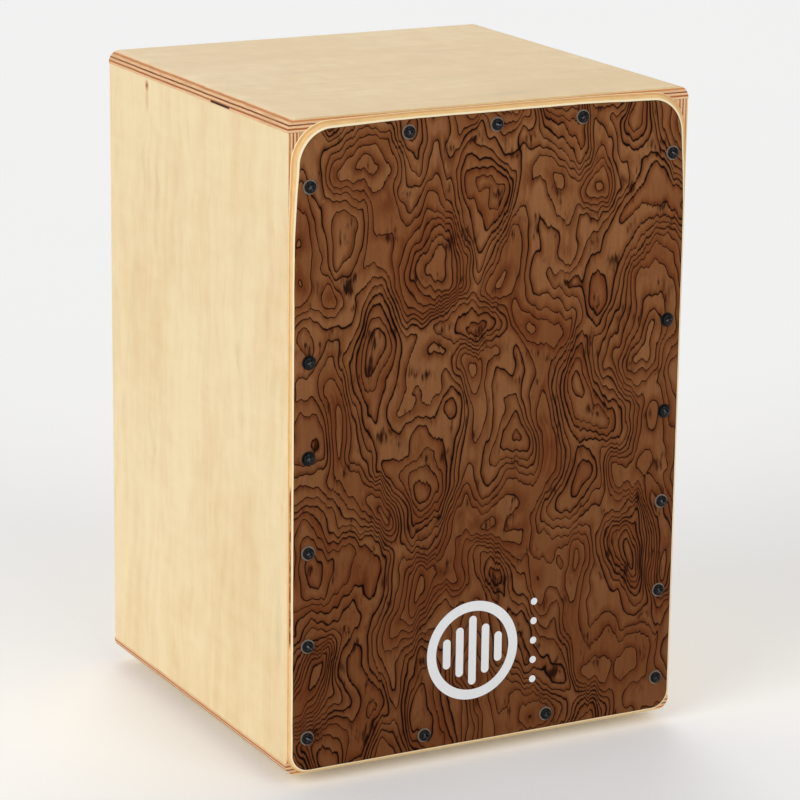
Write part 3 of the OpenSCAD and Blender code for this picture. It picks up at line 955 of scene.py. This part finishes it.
def screw_shape(radius, height, shank_radius, length):
    """Whole pan-head screw, underside of the head at z = 0. Its cross recess has material index 1."""
    head_steps = 48
    holder = add_object("screw", mesh_of("screw", lathe(head_profile(radius, height), head_steps)))
    for turn in (0, 90):
        tool = wing(radius, radius * 0.2, height * 0.72, height)
        bmesh.ops.rotate(tool, verts=tool.verts, matrix=Matrix.Rotation(math.radians(turn), 3, "Z"))
        cut(holder, tool)
    shape = bmesh.new()
    shape.from_mesh(holder.data)
    bpy.data.objects.remove(holder)
    for face in shape.faces:
        middle = face.calc_center_median()
        inside = math.hypot(middle.x, middle.y) < 0.7 * radius and 0.1 * height < middle.z < 0.85 * height
        face.material_index = 1 if inside else 0
    shank = thread(shank_radius, length, THREAD_PITCH)
    bmesh.ops.recalc_face_normals(shank, faces=shank.faces)
    merge(shape, shank, Matrix.Identity(4))
    shank.free()
    return shape


def washer_shape(outer, inner, thickness):
    """Flat washer with eased edges, lower face at z = 0."""
    ease = 0.2 * thickness
    return lathe([(inner, ease), (inner + ease, 0), (outer - ease, 0), (outer, ease),
                  (outer, thickness - ease), (outer - ease, thickness), (inner + ease, thickness),
                  (inner, thickness - ease)], 56, loop=True)


TO_FRONT = Matrix.Rotation(math.radians(90), 4, "X")
# Heights between which the side columns' washers are black, in mm
BLACK_WASHERS = (210, 320)


def random_twist():
    """Where a screw's cross happens to stop."""
    return Matrix.Rotation(random.uniform(0, math.pi / 2), 4, "Z")


def build_plate_screws():
    black = metal("black_screw", srgb(9, 9, 11), 0.24, 0.1, scratches=0.15, shine=0.22)
    # Painted highlight: worn is the light grey metal of the cross recesses, painted to stand for glints on
    # their walls
    worn = metal("painted_glint_recess", srgb(132, 132, 140), 0.3, 0.6, seed=30.0)
    steel = metal("washer_steel", srgb(138, 124, 112), 0.46, 0.5, shine=0.3, blackened=BLACK_WASHERS)
    low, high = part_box("left_corner_screw")
    under_head = low.y + HEAD_HEIGHT
    screw = screw_shape((high.x - low.x) / 2, HEAD_HEIGHT, SHANK_RADIUS, high.y - under_head)
    washer_low, washer_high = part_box("left_corner_washer")
    washer = washer_shape((washer_high.x - washer_low.x) / 2, PLATE_HOLE / 2, WASHER_THICK)

    def place(box, y):
        middle = (box[0] + box[1]) / 2
        return Matrix.Translation((middle.x, y, middle.z)) @ TO_FRONT

    groups = [("plate_screws", "plate_washers", "cajon", "cajon"),
              ("left_corner_screw", "left_corner_washer", "left_corner_turn", "left_corner_travel"),
              ("right_corner_screw", "right_corner_washer", "right_corner_turn", "right_corner_travel")]
    for screw_node, washer_node, screw_body, washer_body in groups:
        heads, rings = bmesh.new(), bmesh.new()
        for box in solids(screw_node):
            merge(heads, screw, place(box, under_head) @ random_twist())
        for box in solids(washer_node):
            merge(rings, washer, place(box, plate_low.y))
        heads_piece = add_piece(screw_node + "_black", heads, black, screw_body, "black_screw", screw_node,
                                second=worn)
        bevel_all(heads_piece, 0.08 * MM, 2, 50)
        add_piece(washer_node + "_steel", rings, steel, washer_body, "dark_washer", washer_node)
    screw.free()
    washer.free()


# ---- feet ----


def foot_profile(low, high):
    """Rubber foot: eased rims, a waist groove and the recess for its screw, as (radius, height)."""
    radius = (high.x - low.x) / 2
    height = high.z - low.z
    bore = FOOT_SHANK_RADIUS
    recess = 8 * MM
    recess_depth = 3 * MM
    chamfer = 1.5 * MM
    ease = 0.5 * MM
    nick = 0.2 * MM
    waist = radius - ease
    return [(bore, recess_depth), (recess - ease, recess_depth), (recess, recess_depth - ease),
            (recess, ease), (recess + ease, 0), (radius - chamfer - ease, 0), (radius - chamfer, 0.15 * MM),
            (radius - nick, chamfer - nick), (radius, chamfer + ease), (radius, 0.55 * height),
            (waist, 0.6 * height), (waist, 0.66 * height), (radius, 0.71 * height),
            (radius, height - ease), (waist, height), (bore, height)]


def build_feet():
    material = rubber("foot_rubber")
    steel = metal("foot_steel", srgb(186, 186, 188), 0.32, 0.95, seed=40.0)
    for node in ("front_left_foot", "front_right_foot", "rear_left_foot", "rear_right_foot"):
        low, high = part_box(node)
        middle = (low + high) / 2
        shape = lathe(foot_profile(low, high), 72, loop=True)
        bmesh.ops.translate(shape, verts=shape.verts, vec=(middle.x, middle.y, low.z))
        add_piece(node + "_rubber", shape, material, "cajon", "foot_rubber", node)

    boxes = solids("foot_screws")
    low, high = boxes[0]
    washer_low, washer_high = solids("foot_washers")[0]
    under_head = washer_low.z
    screw = screw_shape((high.x - low.x) / 2, under_head - low.z, FOOT_SHANK_RADIUS, high.z - under_head)
    washer_radius = (washer_high.x - washer_low.x) / 2
    washer = washer_shape(washer_radius, FOOT_SHANK_RADIUS, washer_high.z - washer_low.z)
    upside_down = Matrix.Rotation(math.pi, 4, "X")
    heads, rings = bmesh.new(), bmesh.new()
    for low, high in boxes:
        middle = (low + high) / 2
        seat = Matrix.Translation((middle.x, middle.y, under_head))
        merge(heads, screw, seat @ upside_down @ random_twist())
        merge(rings, washer, seat)
    heads_piece = add_piece("foot_screws_steel", heads, steel, "cajon", "zinc_steel", "foot_screws",
                            second=steel)
    bevel_all(heads_piece, 0.06 * MM, 2, 50)
    add_piece("foot_washers_steel", rings, steel, "cajon", "zinc_steel", "foot_washers")
    screw.free()
    washer.free()


# ---- inner frame and snares ----


def dress_cad(node, material, bevel=0.0):
    """Gives a CAD node its material, and rounds its sharp edges if bevel is given."""
    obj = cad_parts[node]
    obj.data.materials.clear()
    obj.data.materials.append(material)
    if bevel:
        weld = obj.modifiers.new("weld", "WELD")
        weld.merge_threshold = 0.005 * MM
        bevel_all(obj, bevel)


def build_inner_frame():
    light, dark = srgb(222, 190, 142), srgb(190, 148, 98)
    upright = plain_wood("batten_upright", light, dark, "z", 5.0)
    level = plain_wood("batten_level", light, dark, "x", 15.0)
    for end in ("front", "rear"):
        for side in ("left", "right"):
            dress_cad(f"{end}_{side}_batten", upright, BATTEN_ARRIS)
        for side in ("top", "bottom"):
            dress_cad(f"{end}_{side}_batten", level, BATTEN_ARRIS)
    bar = plain_wood("snare_bar_wood", srgb(214, 176, 122), srgb(176, 128, 78), "x", 25.0)
    for node in ("snare_bar", "left_snare_block", "right_snare_block"):
        dress_cad(node, bar, BATTEN_ARRIS)


def coil(start, direction, length, outer_radius):
    """Coiled wire along direction from start, as a closed tube."""
    side = direction.cross(Vector((1, 0, 0))).normalized()
    across = direction.cross(side).normalized()
    per_turn = 10
    tube_steps = 5
    radius = outer_radius - SNARE_WIRE_RADIUS
    count = int(length / SNARE_COIL_PITCH * per_turn)
    rings = []
    for i in range(count + 1):
        angle = 2 * math.pi * i / per_turn
        outward = side * math.cos(angle) + across * math.sin(angle)
        centre = start + direction * (length * i / count) + outward * radius
        ring = []
        for k in range(tube_steps):
            turn = 2 * math.pi * k / tube_steps
            around = outward * math.cos(turn) + direction * math.sin(turn)
            ring.append(centre + around * SNARE_WIRE_RADIUS)
        rings.append(ring)
    return loft(rings)


def build_snares():
    steel = metal("snare_steel", srgb(206, 208, 212), 0.24, 1.0, seed=10.0)
    brass = metal("strip_brass", srgb(196, 164, 92), 0.33, 1.0, seed=20.0)
    dress_cad("snare_bar_screws", steel)
    dress_cad("snare_strip_screws", steel)
    for side in ("left", "right"):
        dress_cad(side + "_snare_strip", brass, JOINT_ARRIS)
        node = side + "_snare_wires"
        shape = bmesh.new()
        for low, high in solids(node):
            outer = (high.x - low.x) / 2
            lean = math.atan2(high.y - low.y - 2 * outer, high.z - low.z)
            direction = Vector((0, math.sin(lean), math.cos(lean)))
            middle = (low + high) / 2
            length = (high.z - low.z - 2 * outer * math.sin(lean)) / math.cos(lean)
            wire = coil(middle - direction * length / 2, direction, length, outer)
            merge(shape, wire, Matrix.Identity(4))
            wire.free()
        add_piece(node + "_coils", shape, steel, "cajon", "zinc_steel", node, smooth=80)


# ---- stage ----

# Strength of the sky as a light, and as the camera sees it
SKY_LIGHT = 0.46
SKY_SEEN = 0.9
FLOOR_REACH = 60.0
FLOOR_WHITE = (0.96, 0.96, 0.96, 1.0)
FLOOR_GLOW = 0.07
# Softness of each lamp in degrees; then its name, azimuth and elevation in degrees, and strength
LAMP_SPREAD = 38
LAMPS = [("key", -74, 28, 1.06), ("front", 12, 36, 0.5), ("rear", 160, 32, 0.75)]


def build_floor():
    low, high = -FLOOR_REACH, FLOOR_REACH
    corners = [(low, low, 0), (high, low, 0), (high, high, 0), (low, high, 0)]
    mesh = bpy.data.meshes.new("floor")
    mesh.from_pydata(corners, [], [(0, 1, 2, 3)])
    paint = Paint("floor_paper")
    cloud = paint.noise(paint.place, 0.002)
    colour = paint.brighten(FLOOR_WHITE, paint.times(cloud, 0.004))
    paint.feed_all(paint.shader, {"Emission Color": (1.0, 1.0, 1.0, 1.0), "Emission Strength": FLOOR_GLOW})
    add_object("floor", mesh, paint.finish(colour, 0.9, 0.0))


def build_sky():
    world = bpy.data.worlds.new("studio")
    world.use_nodes = True
    nodes = world.node_tree.nodes
    sky = nodes["Background"]
    sky.inputs["Color"].default_value = (1.0, 0.998, 0.993, 1.0)
    seen = nodes.new("ShaderNodeLightPath")
    strength = nodes.new("ShaderNodeMapRange")
    world.node_tree.links.new(seen.outputs["Is Camera Ray"], strength.inputs["Value"])
    strength.inputs["To Min"].default_value = SKY_LIGHT
    strength.inputs["To Max"].default_value = SKY_SEEN
    world.node_tree.links.new(strength.outputs[0], sky.inputs["Strength"])
    bpy.context.scene.world = world


def build_lamps():
    for name, azimuth, elevation, power in LAMPS:
        data = bpy.data.lights.new(name, "SUN")
        data.angle = math.radians(LAMP_SPREAD)
        data.energy = power
        lamp = add_object(name, data)
        lamp.rotation_euler = direction_to_viewer(azimuth, elevation).to_track_quat("Z", "Y").to_euler()


def direction_to_viewer(azimuth, elevation):
    """Unit vector from the drum towards a viewer; azimuth 0 is in front of the plate, 90 on the +X side."""
    a, e = math.radians(azimuth), math.radians(elevation)
    return Vector((math.sin(a) * math.cos(e), -math.cos(a) * math.cos(e), math.sin(e)))


CAMERA_AZIMUTH = -28.07
CAMERA_ELEVATION = 15.32
CAMERA_ROLL = 0.72
CAMERA_DISTANCE = 2.416
CAMERA_LENS = 154.56
CAMERA_TARGET = Vector((0.0047, -0.0053, 0.2168))


def build_camera():
    data = bpy.data.cameras.new("camera")
    data.lens = CAMERA_LENS
    data.clip_start = 0.05
    camera = add_object("camera", data)
    back = direction_to_viewer(CAMERA_AZIMUTH, CAMERA_ELEVATION)
    roll = Matrix.Rotation(math.radians(CAMERA_ROLL), 4, "Z")
    turn = back.to_track_quat("Z", "Y").to_matrix().to_4x4() @ roll
    camera.matrix_world = Matrix.Translation(CAMERA_TARGET + back * CAMERA_DISTANCE) @ turn
    bpy.context.scene.camera = camera


build_box()
build_plate()
dress_cad("emblem", print_ink("white_print"))
build_plate_screws()
build_feet()
build_inner_frame()
build_snares()
build_floor()
build_sky()
build_lamps()
build_camera()
bpy.context.scene.view_settings.view_transform = "Standard"
